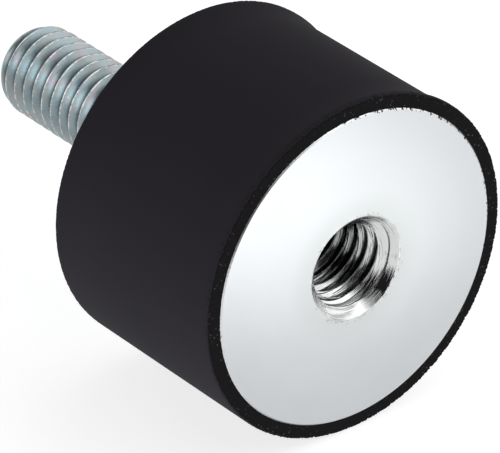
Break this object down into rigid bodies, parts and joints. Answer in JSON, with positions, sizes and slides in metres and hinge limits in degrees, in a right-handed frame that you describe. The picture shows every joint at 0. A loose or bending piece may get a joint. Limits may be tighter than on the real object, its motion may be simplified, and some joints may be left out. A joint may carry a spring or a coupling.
{
  "type": "bobbin vibration mount",
  "caption": "Cylindrical rubber vibration mount with a slight waist and a bonded steel plate at either end, one with a tapped hole and the other with a threaded stud.",
  "frame": {"origin": "centre of the tapped steel face, which the part stands on", "axes": "+Z along the axis, from the tapped face towards the tip of the stud; X and Y are free, as every piece is round"},
  "size_m": [0.03, 0.03, 0.043],
  "materials": {
    "black_rubber": "matt moulded natural rubber, black",
    "zinc_plate": "bright zinc-plated pressed steel, satin",
    "zinc_stud": "blue zinc-plated rolled thread, bright"
  },
  "bodies": {
    "root": {"rubber_body": "black_rubber", "tapped_plate": "zinc_plate", "stud_plate": "zinc_plate", "threaded_stud": "zinc_stud"}
  },
  "joints": []
}
